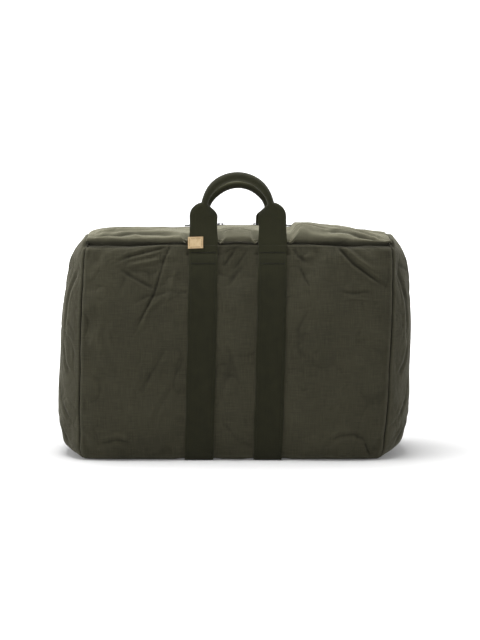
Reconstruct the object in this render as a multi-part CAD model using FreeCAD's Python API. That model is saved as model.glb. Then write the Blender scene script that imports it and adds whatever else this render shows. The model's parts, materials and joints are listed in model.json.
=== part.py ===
"""Soft boxy weekender bag: padded cloth panels, two full-height webbing straps a side that rise into rolled
carrying handles, a two-slider zip along the crown, a lining, a base board and a slip pocket.

Millimetres. +Z is up, -Y is the front, X runs along the bag. The origin is on the floor under the middle."""

import math
import os

import FreeCAD
import Part

V = FreeCAD.Vector

# ---- driving dimensions: the stuffed body ---------------------------------------------------------------
panel_w = 474.0        # front panel, end seam to end seam
seam_h = 337.0         # top seam of the front and rear panels above the floor
crown_h = 364.0        # middle of the stuffed top
crown_drop = 8.3       # how far the crown line falls from the middle to each end
crown_flat = 20.0      # half length of the level stretch in the middle of the crown
top_half = 100.0       # half depth at the top seams
base_half = 108.0      # half depth at the base seams
belly_half = 120.0     # half depth where the front and rear bulge most
belly_z = 140.0
plan_half = 130.0      # half depth where the end domes would meet the end seams, seen from above
end_bulge = 50.0       # how far each end panel swells past its seams
end_belly_z = 165.0
end_tuck = 5.0         # how far each end seam comes in at the base
end_low = (43.0, 53.0)          # past the seam, above the base: where the rounded lower corner ends
end_low_mid = (25.0, 15.0)      # half way round that corner
end_high = (41.0, 52.0)         # past the seam, below the top seam: where the rounded upper corner starts
end_high_mid = (27.0, 19.0)
cloth_t = 4.0          # padded cloth
flap_gap = 0.3         # between each top panel and the end panels

# ---- inside ---------------------------------------------------------------------------------------------
lining_t = 0.8
lining_drop = 12.0     # the lining ends this far below the top seam
board_t = 2.0
board_half_x, board_half_y, board_corner = 218.0, 96.0, 24.0
pocket_t = 1.2
pocket_half_w, pocket_low, pocket_high = 110.0, 130.0, 280.0
binding_h = 10.0

# ---- straps and handles -----------------------------------------------------------------------------------
web_w = 45.0           # webbing width
web_t = 2.2            # webbing thickness
strap_x = 53.3         # strap centre to bag centre
sewn_top = 327.0       # where the sewn part of each strap ends
under_inset = 12.0     # the strap under the base stops this far inside the base seams
tack_z = (304.0, 321.0)
tack_h, tack_t, tack_inset = 2.5, 0.7, 3.0
link_low, link_high = 329.5, 337.5      # free webbing between the bar tack and the seam
leg_low = 339.5        # free webbing above the seam starts here
leg_gap = 1.8          # free webbing stands this far off the top seam
shoulder_z = 380.0     # the strap starts folding into the grip here
shoulder_r = 18.0
grip_r = 7.15          # rolled grip
core_r = 4.6
arch_r = 52.0          # grip centre line, a half circle
arch_z = 387.0
leather_t, leather_w, leather_h, leather_z = 1.6, 21.8, 18.0, 328.6

# ---- zip ------------------------------------------------------------------------------------------------
zip_half = 214.0       # half length of the teeth
window_half = 6.0      # half the gap in the cloth over the teeth
tape_half = 20.0
tape_past_teeth = 1.0
teeth_half = 3.5
teeth_gap = 0.7        # from the middle to each row, room for the slider's web
teeth_top = 1.2        # teeth crown below the cloth surface
end_tab_gap, end_tab_t = 2.5, 3.0       # cloth tab past each end of the teeth
slide_gap = 0.3        # slider plates to teeth and tape
slider_rest = 28.0     # slider centre to bag centre, closed
slider_l = 16.0
slider_half_w = 5.5
slider_corner = 3.5
plate_t = 1.6
nose_l, nose_half_w = 7.0, 0.5          # the web that parts the two rows of teeth
bail_x0, bail_x1, bail_half_w, bail_top = -3.5, 4.5, 1.2, 3.4
bail_hole = (-1.5, 3.2, 0.75, 2.6)      # x from, x to, z from, z to
pin = 1.2              # square section of the pull's cross bar
pin_x, pin_z = 1.6, 1.65                # the cross bar's middle
pull_len, pull_half_w, pull_corner = 24.0, 4.2, 1.6
eye_half_w, eye_end, slot_start, slot_end = 2.6, 9.0, 18.0, 21.4
tab_len, tab_half_w = 40.0, 2.4         # folded cloth tab on the pull
tab_low, tab_high, tab_gap = 0.2, 3.6, 0.2

# ---- derived --------------------------------------------------------------------------------------------
end_x = panel_w / 2
base_z = web_t                      # only the base webbing touches the floor
split_x = end_x - cloth_t           # the end panels take the last cloth thickness of the shell
foot_x = split_x - end_tuck         # the flat base ends here
leg_in = top_half + leg_gap         # inner face of the free webbing
leg_out = leg_in + web_t
roof_slope = crown_drop / (end_x - crown_flat)
far = 400.0                         # past the whole bag
node_count = 0


def save(name, *solids):
    """Writes one node as parts/NAME.step."""
    global node_count
    shape = solids[0] if len(solids) == 1 else Part.makeCompound(list(solids))
    if not shape.isValid() or shape.Volume <= 0:
        raise ValueError(name + " is not a valid solid")
    shape.exportStep(f"parts/{name}.step")
    node_count += 1
    print(f"{name:28s} solids {len(shape.Solids)}  volume {shape.Volume / 1000:9.2f} cm3")


def box(x0, x1, y0, y1, z0, z1):
    return Part.makeBox(x1 - x0, y1 - y0, z1 - z0, V(x0, y0, z0))


def plate(x0, x1, y0, y1, z0, z1, corner):
    """A box with its upright edges rounded."""
    block = box(x0, x1, y0, y1, z0, z1)
    upright = [e for e in block.Edges if abs(e.tangentAt(0).z) > 0.9]
    return block.makeFillet(corner, upright)


def arc(a, b, c):
    return Part.Arc(V(*a), V(*b), V(*c)).toShape()


def line(a, b):
    return Part.makeLine(V(*a), V(*b))


def mirror_y(shape):
    return shape.mirror(V(0, 0, 0), V(0, 1, 0))


def mirror_x(shape):
    return shape.mirror(V(0, 0, 0), V(1, 0, 0))


def one(shape):
    """The single solid of a boolean result."""
    if len(shape.Solids) != 1:
        raise ValueError(f"{len(shape.Solids)} solids where one was expected")
    return shape.Solids[0]


# ---- the stuffed body, at any inset from its outer surface ----------------------------------------------
def side_profile(i):
    """Seen from the end: bulging front and rear, crowned top, flat base."""
    b, t, m = base_half - i, top_half - i, belly_half - i
    low, seam, crown = base_z + i, seam_h - i, crown_h - i
    edges = [
        line((-far, -b, low), (-far, b, low)),
        arc((-far, b, low), (-far, m, belly_z), (-far, t, seam)),
        arc((-far, t, seam), (-far, 0, crown), (-far, -t, seam)),
        arc((-far, -t, seam), (-far, -m, belly_z), (-far, -b, low)),
    ]
    return Part.Face(Part.Wire(edges)).extrude(V(2 * far, 0, 0))


def front_profile(i):
    """Seen from the front: boxy swelling ends and a crown line that falls a little to each end."""
    e, low, seam = end_x - i, base_z + i, seam_h - i
    roof, eave = crown_h - i, crown_h - crown_drop - i
    foot = (e - end_tuck, low)
    round_low = [(e + end_low_mid[0], low + end_low_mid[1]), (e + end_low[0], low + end_low[1])]
    belly = (e + end_bulge, end_belly_z)
    round_high = [(e + end_high[0], seam - end_high[1]), (e + end_high_mid[0], seam - end_high_mid[1])]
    edges = [line((-crown_flat, -far, roof), (crown_flat, -far, roof)),
             line((foot[0], -far, low), (-foot[0], -far, low))]
    for side in (1, -1):
        points = [foot, *round_low, belly, *round_high, (e, seam)]
        a, b, c, d, f, g, h = [(side * x, -far, z) for x, z in points]
        edges += [arc(a, b, c), arc(c, d, f), arc(f, g, h), line(h, (side * e, -far, eave)),
                  line((side * e, -far, eave), (side * crown_flat, -far, roof))]
    wire = Part.Wire(Part.sortEdges(edges)[0])
    return Part.Face(wire).extrude(V(0, 2 * far, 0))


def plan_profile(i):
    """Seen from above: each end domes between its front and rear seams."""
    e, d = end_x - i, plan_half - i
    belly = e + end_bulge
    edges = [
        line((-e, -d, -far), (e, -d, -far)),
        arc((e, -d, -far), (belly, 0, -far), (e, d, -far)),
        line((e, d, -far), (-e, d, -far)),
        arc((-e, d, -far), (-belly, 0, -far), (-e, -d, -far)),
    ]
    return Part.Face(Part.Wire(edges)).extrude(V(0, 0, 3 * far))


def body(i):
    return side_profile(i).common(front_profile(i)).common(plan_profile(i))


def skin(outer, inner):
    """The layer between two insets."""
    return body(outer).cut(body(inner))


def wedge(points):
    """A prism along X over the YZ polygon."""
    corners = [V(-far, y, z) for y, z in points]
    return Part.Face(Part.makePolygon(corners + corners[:1])).extrude(V(2 * far, 0, 0))


def cloth_panels():
    """The seven outer panels of the shell, mitred along their seams."""
    shell = skin(0, cloth_t)
    middle = shell.common(box(-split_x, split_x, -far, far, -far, far))
    m = 5 * cloth_t                 # reach of each mitre past the seam it runs through
    top_out, top_in = (-top_half - m, seam_h + m), (-top_half + m, seam_h - m)
    base_out, base_in = (-base_half - m, base_z - m), (-base_half + m, base_z + m)
    front = wedge([top_out, top_in, base_in, base_out, (-far, 0), (-far, seam_h)])
    top = wedge([top_out, top_in, (-top_in[0], top_in[1]), (-top_out[0], top_out[1])])
    base = wedge([base_out, base_in, (-base_in[0], base_in[1]), (-base_out[0], base_out[1])])
    front_panel = one(middle.common(front))
    save("front_panel", front_panel)
    save("rear_panel", one(mirror_y(front_panel)))
    under = middle.common(base)
    save("bottom_panel", one(under.common(box(-foot_x, foot_x, -far, far, -far, far))))
    turn_up = under.common(box(foot_x, far, -far, far, -far, far))
    right_end = shell.common(box(split_x, far, -far, far, -far, far))
    right_end = one(right_end.fuse(turn_up).removeSplitter())
    save("right_end_panel", right_end)
    save("left_end_panel", one(mirror_x(right_end)))
    flap_x = split_x - flap_gap
    flap = one(middle.common(top).common(box(-flap_x, flap_x, -far, -window_half, 0, far)))
    save("top_front_panel", flap)
    save("top_rear_panel", one(mirror_y(flap)))


def inner_pieces():
    """Lining, base board and the slip pocket on the rear wall."""
    inside = cloth_t + lining_t
    lining = skin(cloth_t, inside).common(box(-far, far, -far, far, -far, seam_h - lining_drop))
    save("lining", one(lining))
    floor_z = base_z + inside
    save("base_board", plate(-board_half_x, board_half_x, -board_half_y, board_half_y,
                             floor_z, floor_z + board_t, board_corner))
    pocket = box(-pocket_half_w, pocket_half_w, 0, far, pocket_low, pocket_high)
    save("inner_pocket", one(skin(inside, inside + pocket_t).common(pocket)))
    rim = box(-pocket_half_w, pocket_half_w, 0, far, pocket_high - binding_h, pocket_high)
    save("inner_pocket_binding", one(skin(inside + pocket_t, inside + 2 * pocket_t).common(rim)))


def straps():
    """The sewn webbing: up the front and rear, and across under the base."""
    layer = skin(-web_t, 0)
    tack_layer = skin(-web_t - tack_t, -web_t)
    x0, x1 = strap_x - web_w / 2, strap_x + web_w / 2
    reach = base_half - under_inset
    upright = one(layer.common(box(x0, x1, -far, 0, base_z + 1.0, sewn_top)))
    under = one(layer.common(box(x0, x1, -reach, reach, -far, base_z)))
    save("front_webbing_right", upright)
    save("front_webbing_left", one(mirror_x(upright)))
    save("rear_webbing_right", one(mirror_y(upright)))
    save("rear_webbing_left", one(mirror_y(mirror_x(upright))))
    save("base_webbing_right", under)
    save("base_webbing_left", one(mirror_x(under)))
    tacks = []
    for z in tack_z:
        tack = one(tack_layer.common(box(x0 + tack_inset, x1 - tack_inset, -far, 0, z, z + tack_h)))
        tacks += [tack, mirror_x(tack)]
    save("front_bar_tacks", *tacks)
    save("rear_bar_tacks", *[mirror_y(t) for t in tacks])


def strap_root(sign):
    """Free webbing between the bar tack and the seam, one side."""
    x = sign * strap_x
    return box(x - web_w / 2, x + web_w / 2, -leg_out, -leg_in, link_low, link_high)


def handle_leg(sign):
    """Flat webbing above the seam with rounded shoulders where it folds into the grip."""
    x, y, r = sign * strap_x, -leg_out, shoulder_r
    left, right, top = x - web_w / 2, x + web_w / 2, shoulder_z + shoulder_r
    k = r * math.sin(math.pi / 4)
    edges = [
        line((left, y, leg_low), (right, y, leg_low)),
        line((right, y, leg_low), (right, y, shoulder_z)),
        arc((right, y, shoulder_z), (right - r + k, y, shoulder_z + k), (right - r, y, top)),
        line((right - r, y, top), (left + r, y, top)),
        arc((left + r, y, top), (left + r - k, y, shoulder_z + k), (left, y, shoulder_z)),
        line((left, y, shoulder_z), (left, y, leg_low)),
    ]
    return Part.Face(Part.Wire(edges)).extrude(V(0, web_t, 0))


def arch(radius):
    """A round bar along the half circle of the grip."""
    y = -(leg_in + leg_out) / 2
    disc = Part.Face(Part.Wire(Part.makeCircle(radius, V(arch_r, y, arch_z), V(0, 0, 1))))
    return disc.revolve(V(0, y, arch_z), V(0, 1, 0), -180)


def handles():
    """Both handles: the webbing with its grip, the cord in the grip, and the free webbing below the hinge."""
    core = arch(core_r)
    webbing = arch(grip_r).cut(core)
    for sign in (-1, 1):
        webbing = webbing.fuse(handle_leg(sign).cut(core))
    webbing = one(webbing.removeSplitter())
    save("front_handle_webbing", webbing)
    save("front_handle_core", core)
    save("rear_handle_webbing", one(mirror_y(webbing)))
    save("rear_handle_core", mirror_y(core))
    roots = [strap_root(-1), strap_root(1)]
    save("front_strap_roots", *roots)
    save("rear_strap_roots", *[mirror_y(r) for r in roots])


def leather_tab():
    """A leather tab on the front of the left strap, folded round the strap's outer edge."""
    edge = -strap_x - web_w / 2
    z0, z1 = leather_z, leather_z + leather_h
    face = box(edge - leather_t, edge + leather_w, -leg_out - leather_t, -leg_out, z0, z1)
    fold = box(edge - leather_t, edge, -leg_out, -leg_in, z0, z1)
    save("leather_tab", one(face.fuse(fold).removeSplitter()))


def zip_tapes():
    """Tape and teeth of each half, on the top panels, and the cloth tab past each end of the teeth."""
    tape_x = zip_half + tape_past_teeth
    tape = skin(cloth_t, cloth_t + lining_t)
    tape = one(tape.common(box(-tape_x, tape_x, -tape_half, -teeth_gap, seam_h, far)))
    teeth = skin(teeth_top, cloth_t)
    teeth = one(teeth.common(box(-zip_half, zip_half, -teeth_half, -teeth_gap, seam_h, far)))
    save("zip_tape_front", tape)
    save("zip_tape_rear", one(mirror_y(tape)))
    save("zip_teeth_front", teeth)
    save("zip_teeth_rear", one(mirror_y(teeth)))
    half = window_half - flap_gap
    stop = skin(flap_gap, flap_gap + end_tab_t)
    stop = one(stop.common(box(zip_half + end_tab_gap, split_x, -half, half, seam_h, far)))
    save("zip_end_tabs", stop, mirror_x(stop))


def slider():
    """Two plates round the teeth, the nose that parts them, and the bail over the top plate."""
    h, w = slider_l / 2, slider_half_w
    top_z = slide_gap - teeth_top
    low_z = -cloth_t - lining_t - slide_gap
    top = plate(-h, h, -w, w, top_z, top_z + plate_t, slider_corner)
    low = plate(-h, h, -w, w, low_z - plate_t, low_z, slider_corner)
    nose = box(-h, -h + nose_l, -nose_half_w, nose_half_w, low_z - plate_t / 2, top_z + plate_t / 2)
    hole_x0, hole_x1, hole_z0, hole_z1 = bail_hole
    bail = box(bail_x0, bail_x1, -bail_half_w, bail_half_w, top_z + plate_t / 2, bail_top)
    bail = bail.cut(box(hole_x0, hole_x1, -w, w, hole_z0, hole_z1))
    return one(top.fuse(low).fuse(nose).fuse(bail).removeSplitter())


def puller():
    """A flat metal pull with a cross bar in the bail and a slot for the cloth tab."""
    start, z0, z1 = pin_x - pin / 2, pin_z - pin / 2, pin_z + pin / 2
    blank = plate(start, pull_len, -pull_half_w, pull_half_w, z0, z1, pull_corner / 2)
    eye = box(start + pin, eye_end, -eye_half_w, eye_half_w, 0, bail_top)
    slot = box(slot_start, slot_end, -eye_half_w, eye_half_w, 0, bail_top)
    return one(blank.cut(eye).cut(slot))


def pull_tab():
    """Folded cloth tape through the slot: two leaves sewn together beyond the metal."""
    start, w = slot_start + tab_gap, tab_half_w
    end = start + tab_len
    pull_low, pull_high = pin_z - pin / 2, pin_z + pin / 2
    upper = box(start, end, -w, w, pull_high + tab_gap, tab_high)
    lower = box(start, end, -w, w, tab_low, pull_low - tab_gap)
    loop = box(start, start + pin, -w, w, tab_low, tab_high)
    tail = box(pull_len + pin, end, -w, w, tab_low, tab_high)
    return one(upper.fuse(lower).fuse(loop).fuse(tail).removeSplitter())


def place_on_zip(shape):
    """Moves a piece made at the origin, along +X on the crown surface, to the right slider's place."""
    drop = (slider_rest - crown_flat) * roof_slope
    shape.rotate(V(0, 0, 0), V(0, 1, 0), math.degrees(math.atan(roof_slope)))
    shape.translate(V(slider_rest, 0, crown_h - drop))
    return shape


def sliders():
    for name, make in (("zip_slider", slider), ("zip_puller", puller), ("zip_pull_tab", pull_tab)):
        right = place_on_zip(make())
        save(name + "_right", right)
        save(name + "_left", one(mirror_x(right)))


os.makedirs("parts", exist_ok=True)
for old in os.listdir("parts"):
    os.remove(os.path.join("parts", old))
cloth_panels()
inner_pieces()
straps()
handles()
leather_tab()
zip_tapes()
sliders()
print(node_count, "nodes")
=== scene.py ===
import json
import math

import bpy
import numpy as np
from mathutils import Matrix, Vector, noise
from mathutils.bvhtree import BVHTree
from mathutils.kdtree import KDTree


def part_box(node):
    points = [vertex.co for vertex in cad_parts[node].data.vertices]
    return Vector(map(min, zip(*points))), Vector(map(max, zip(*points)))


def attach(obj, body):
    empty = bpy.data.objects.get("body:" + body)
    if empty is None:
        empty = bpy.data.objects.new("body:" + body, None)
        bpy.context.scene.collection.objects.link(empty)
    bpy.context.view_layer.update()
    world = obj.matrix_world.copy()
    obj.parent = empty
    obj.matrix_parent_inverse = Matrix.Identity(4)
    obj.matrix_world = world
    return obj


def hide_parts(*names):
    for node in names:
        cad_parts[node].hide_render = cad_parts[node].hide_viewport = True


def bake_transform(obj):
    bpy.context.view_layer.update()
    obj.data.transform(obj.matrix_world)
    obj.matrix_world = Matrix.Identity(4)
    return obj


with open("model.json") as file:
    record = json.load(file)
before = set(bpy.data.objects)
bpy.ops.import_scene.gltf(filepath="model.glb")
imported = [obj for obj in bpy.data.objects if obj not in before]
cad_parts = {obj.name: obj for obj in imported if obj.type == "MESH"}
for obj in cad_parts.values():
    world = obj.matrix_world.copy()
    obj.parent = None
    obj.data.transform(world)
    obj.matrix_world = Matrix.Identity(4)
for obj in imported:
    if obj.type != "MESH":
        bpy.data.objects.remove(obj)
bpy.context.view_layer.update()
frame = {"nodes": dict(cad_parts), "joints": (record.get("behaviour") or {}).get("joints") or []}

# ---- places and sizes read from the frame, in metres -------------------------
MM = 0.001
FACES = {-1: "front", 1: "rear"}            # names by the sign of y
SIDES = {-1: "left", 1: "right"}            # names by the sign of x
joints = {joint["name"]: joint for joint in frame["joints"]}
lean_pivot = Vector(joints["front_handle_lean_in"]["pos_m"])
seam_y, seam_z = -joints["top_front_open"]["pos_m"][1], joints["top_front_open"]["pos_m"][2]
body_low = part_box("bottom_panel")[0].z      # the body stands this far off the floor, on the base straps
end_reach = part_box("right_end_panel")[1].x
strap_low, strap_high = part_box("front_webbing_right")
strap_x, strap_w = (strap_low.x + strap_high.x) / 2, strap_high.x - strap_low.x
root_low, root_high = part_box("front_strap_roots")
strap_t = root_high.y - root_low.y
leg_y = -(root_low.y + root_high.y) / 2     # middle of the free webbing
core_low, core_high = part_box("front_handle_core")
arch_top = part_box("front_handle_webbing")[1].z
teeth_low, teeth_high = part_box("zip_teeth_front")
teeth_below = 1.2 * MM                      # the teeth's top below the cloth
crown_z = teeth_high.z + teeth_below
tape_low, tape_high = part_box("zip_tape_front")
zip_half = teeth_high.x
slider_rest = (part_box("zip_slider_right")[0].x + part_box("zip_slider_right")[1].x) / 2

# ---- the stuffed body --------------------------------------------------------
cloth_t = 3.0 * MM
window_half = 6.0 * MM          # half the gap in the top cloth over the teeth
side_round = 6.0 * MM           # how far the front and rear faces turn back at the end seams
lean = 7.5 * MM                 # the base stands this far to the left of the top
crown_flat = 20.0 * MM
crown_drop = 8.3 * MM
crown_run = end_reach - crown_flat - 50 * MM     # the length over which the crown drops that far
end_rise = 15.0 * MM            # the end seam's top stands this far above the front seam
# Half the depth and half the width by height, and the ends' swell by depth below their tops, in millimetres.
half_depth = [(2.5, 109.5), (8, 113), (20, 115.5), (40, 117), (140, 120), (240, 115.5), (310, 105),
              (337, 100)]
end_bulge = [(0, 0), (8, 7.5), (16, 13), (26, 19), (40, 25), (62, 29.5), (100, 34), (150, 38.5), (200, 40),
             (350, 40)]
half_width = [(2.5, 233), (10, 237), (40, 240), (140, 241.5), (260, 241), (320, 238.5), (337, 236)]
face_low = 2.5 * MM             # the base seams' height
COUNT_X, COUNT_Z, COUNT_Y = 62, 46, 14      # lattice steps along, up, and from the zip to each top seam

FRONT, REAR, BASE, LEFT, RIGHT, TOP_FRONT, TOP_REAR, WINDOW = range(8)


def smooth_curve(points, unit=MM):
    """A smooth function through a few (place, value) points."""
    xs, ys = np.array(points, float).T * unit
    slopes = np.gradient(ys, xs)

    def at(x):
        x = np.clip(x, xs[0], xs[-1])
        i = np.clip(np.searchsorted(xs, x) - 1, 0, len(xs) - 2)
        h = xs[i + 1] - xs[i]
        t = (x - xs[i]) / h
        rise = ys[i + 1] - ys[i]
        bend = slopes[i] * h * (1 - t) - slopes[i + 1] * h * t + rise * (2 * t - 1)
        return ys[i] + rise * t + t * (1 - t) * bend

    return at


depth_at, width_at, bulge_at = smooth_curve(half_depth), smooth_curve(half_width), smooth_curve(end_bulge)


def smoothstep(t):
    t = np.clip(t, 0, 1)
    return t * t * (3 - 2 * t)


def crown_at(x):
    """The crown's height over the length: level in the middle, falling a little to each end."""
    past = np.maximum(np.abs(x) - crown_flat, 0)
    return crown_z - crown_drop * past / crown_run


def lean_at(z):
    return -lean * np.clip(1 - z / seam_z, 0, 1) ** 1.4


right_skew = smooth_curve([(0, -6.5), (140, -3), (247, -0.5), (337, 2.5)])


def sway_at(x, z):
    """How far the body stands to the side: its lean, and a little more towards the right end."""
    return lean_at(z) + right_skew(z) * smoothstep((x - 85 * MM) / (120 * MM))


def beyond_strap(x):
    """Distance from the nearer edge of the nearest strap, negative under it."""
    return np.abs(np.abs(x) - strap_x) - strap_w / 2


def crowded(start, end, count, crowd=0.45):
    """Samples from start to end, closer together at both ends."""
    s = np.linspace(0, 1, count + 1)
    return start + (end - start) * (s - crowd * np.sin(2 * math.pi * s) / (2 * math.pi))


def across_samples():
    """Shares of the half depth, from rear to front seam, closer together at the zip and at the seams."""
    s = np.linspace(0, 1, COUNT_Y + 1)
    side = window_half / seam_y + (1 - window_half / seam_y) * (s + 0.3 * np.sin(math.pi * s) / math.pi)
    return np.concatenate([-side[::-1], [0], side])


def zip_height(x):
    """Height of the cloth along the zip."""
    share = np.abs(x / width_at(seam_z)) ** 10
    return crown_at(x) * (1 - share) + (seam_z + end_rise) * share


def face_patch(sign):
    """Front (sign -1) or rear face."""
    a, z = np.meshgrid(crowded(-1, 1, COUNT_X), crowded(face_low, seam_z, COUNT_Z), indexing="ij")
    y = depth_at(z) - side_round * np.abs(a) ** 12
    return np.stack([a * width_at(z), sign * y, z], -1)


def end_patch(sign):
    """Left (sign -1) or right end, a boxy dome."""
    b, t = np.meshgrid(across_samples(), crowded(0, 1, COUNT_Z), indexing="ij")
    low, middle = face_low, 120 * MM
    z_seam = low + t * (seam_z - low)
    z_top = seam_z + end_rise * (1 - np.abs(b) ** 6)
    z = low + t * (z_top - low)
    down = np.clip((middle - z) / (middle - low), 0, 1)
    tall = bulge_at(z_top - z) * (1 - down ** 8) ** 0.45
    wide = np.clip(1 - np.abs(b) ** 2.1, 0, 1) ** 0.8
    x = width_at(z_seam) + tall * wide
    return np.stack([sign * x, b * (depth_at(z_seam) - side_round), z], -1)


def top_patch():
    """Both top panels and the zip between them, from rear to front."""
    a, b = np.meshgrid(crowded(-1, 1, COUNT_X), across_samples(), indexing="ij")
    x = a * width_at(seam_z)
    y = b * (seam_y - side_round * np.abs(a) ** 12)
    middle = (crown_at(x) - seam_z) * np.clip(1 - np.abs(b) ** 2.6, 0, 1) ** (1 / 2.6)
    end = end_rise * (1 - np.abs(b) ** 6)
    share = np.abs(a) ** 10
    return np.stack([x, y, seam_z + middle * (1 - share) + end * share], -1)


def base_patch():
    a, b = np.meshgrid(crowded(-1, 1, COUNT_X), across_samples(), indexing="ij")
    x = a * width_at(face_low)
    y = b * (depth_at(face_low) - side_round * np.abs(a) ** 12)
    edge = np.maximum(np.abs(a), np.abs(b)) ** 10
    return np.stack([x, y, body_low + (face_low - body_low) * edge], -1)


def quads_of(grid, outward):
    """The grid's quads, as index rows that face outward."""
    n, m = grid.shape[:2]
    ids = np.arange(n * m).reshape(n, m)
    quads = np.stack([ids[:-1, :-1], ids[1:, :-1], ids[1:, 1:], ids[:-1, 1:]], -1).reshape(-1, 4)
    middle = grid[n // 2:n // 2 + 2, m // 2:m // 2 + 2].reshape(4, 3)
    normal = np.cross(middle[2] - middle[0], middle[1] - middle[0])
    return quads if normal @ outward > 0 else quads[:, ::-1]


def body_lattice():
    """The closed body: points, quads, and each quad's panel."""
    patches = [(FRONT, face_patch(-1), (0, -1, 0)), (REAR, face_patch(1), (0, 1, 0)),
               (BASE, base_patch(), (0, 0, -1)), (LEFT, end_patch(-1), (-1, 0, 0)),
               (RIGHT, end_patch(1), (1, 0, 0)), (TOP_FRONT, top_patch(), (0, 0, 1))]
    points, quads, panels = [], [], []
    start = 0
    for panel, grid, outward in patches:
        rows = quads_of(grid, np.array(outward))
        points.append(grid.reshape(-1, 3))
        quads.append(rows + start)
        panels.append(np.full(len(rows), panel))
        start += grid.shape[0] * grid.shape[1]
    points, quads, panels = np.vstack(points), np.vstack(quads), np.concatenate(panels)
    keys, index = np.unique(np.round(points / (0.01 * MM)).astype(int), axis=0, return_inverse=True)
    welded = np.zeros((len(keys), 3))
    welded[index.ravel()] = points
    quads = index.ravel()[quads]
    middle_y = welded[quads][:, :, 1].mean(1)
    top = panels == TOP_FRONT
    panels[top & (middle_y > 0)] = TOP_REAR
    panels[top & (np.abs(middle_y) < window_half)] = WINDOW
    return welded, quads, panels


def new_object(name, points, faces, panels=None):
    mesh = bpy.data.meshes.new(name)
    mesh.from_pydata(np.asarray(points).tolist(), [], [list(map(int, face)) for face in faces])
    if panels is not None:
        mesh.polygons.foreach_set("material_index", np.asarray(panels, np.int32))
    mesh.validate()
    piece = bpy.data.objects.new(name, mesh)
    bpy.context.scene.collection.objects.link(piece)
    return piece


def vectors(rows, name):
    flat = np.zeros(len(rows) * 3)
    rows.foreach_get(name, flat)
    return flat.reshape(-1, 3)


def coordinates(mesh):
    return vectors(mesh.vertices, "co")


def normals_of(mesh):
    return vectors(mesh.vertex_normals, "vector")


def unit(rows):
    return rows / np.linalg.norm(rows, axis=1, keepdims=True)


def applied(piece):
    """The piece's mesh with its modifiers applied, and the piece removed."""
    graph = bpy.context.evaluated_depsgraph_get()
    mesh = bpy.data.meshes.new_from_object(piece.evaluated_get(graph))
    bpy.data.objects.remove(piece)
    return mesh


def seam_share(points, quads, panels):
    """1 at each point where panels meet, else 0."""
    low, high = np.full(len(points), 99), np.full(len(points), -1)
    for corner in range(4):
        np.minimum.at(low, quads[:, corner], panels)
        np.maximum.at(high, quads[:, corner], panels)
    return (low != high).astype(float)


def under_strap(points, spare=0.0):
    """True for points under the sewn straps, on the front, the rear and the base."""
    return (beyond_strap(points[:, 0]) < spare) & (points[:, 2] < seam_z + 12 * MM)


# ---- the cloth, blown out against its seams and straps -----------------------
growth = 0.045          # the cloth is this much larger than the space it fills, so it wrinkles
pressure = 1.0
sim_frames = 24
most_move = 6.5 * MM
end_cloth_from = 238 * MM        # |x| past which the cloth belongs to an end


def simulated(points, quads, panels):
    """Lattice points after a cloth simulation, held at the seams, the straps, the base and the zip."""
    pins = np.maximum(seam_share(points, quads, panels), under_strap(points, -3 * MM))
    pins[np.abs(points[:, 1]) < window_half * 1.01] = 1
    pins[points[:, 2] < face_low + 1 * MM] = 1
    piece = new_object("stuffing", points, quads)
    group = piece.vertex_groups.new(name="pins")
    group.add([int(i) for i in np.flatnonzero(pins)], 1.0, "REPLACE")
    cloth = piece.modifiers.new("cloth", "CLOTH")
    settings = cloth.settings
    settings.quality = 6
    settings.mass = 0.2
    settings.tension_stiffness = settings.compression_stiffness = 18
    settings.shear_stiffness = 8
    settings.bending_stiffness = 0.08
    settings.use_pressure = True
    settings.uniform_pressure_force = pressure
    settings.shrink_min = -growth
    settings.vertex_group_mass = "pins"
    settings.effector_weights.gravity = 0
    cloth.point_cache.frame_start, cloth.point_cache.frame_end = 1, sim_frames
    for step in range(1, sim_frames + 1):
        bpy.context.scene.frame_set(step)
    mesh = applied(piece)
    move = coordinates(mesh) - points
    bpy.data.meshes.remove(mesh)
    bpy.context.scene.frame_set(1)
    length = np.linalg.norm(move, axis=1, keepdims=True)
    move *= most_move * np.tanh(length / most_move) / np.maximum(length, 1e-9)
    move = relaxed(move, quads, 1)
    on_end = smoothstep((np.abs(points[:, 0]) - end_cloth_from) / (6 * MM))[:, None]
    move += (0.85 * relaxed(move, quads, 6) - move) * on_end
    sewn = (np.abs(points[:, 1]) > seam_y - 4 * MM) & (np.abs(points[:, 0]) < strap_x + strap_w)
    calm = np.where(sewn, 0.12 + 0.88 * smoothstep(beyond_strap(points[:, 0]) / (20 * MM)), 1)
    return points + move * calm[:, None]


def relaxed(values, quads, rounds):
    """Values averaged with their neighbours along the quads' edges."""
    edges = np.vstack([quads[:, [i, (i + 1) % 4]] for i in range(4)])
    for _ in range(rounds):
        total, weight = np.zeros_like(values), np.zeros((len(values), 1))
        for a, b in ((0, 1), (1, 0)):
            np.add.at(total, edges[:, a], values[edges[:, b]])
            np.add.at(weight, edges[:, a], 1)
        values = values * 0.5 + 0.5 * total / weight
    return values


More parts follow.
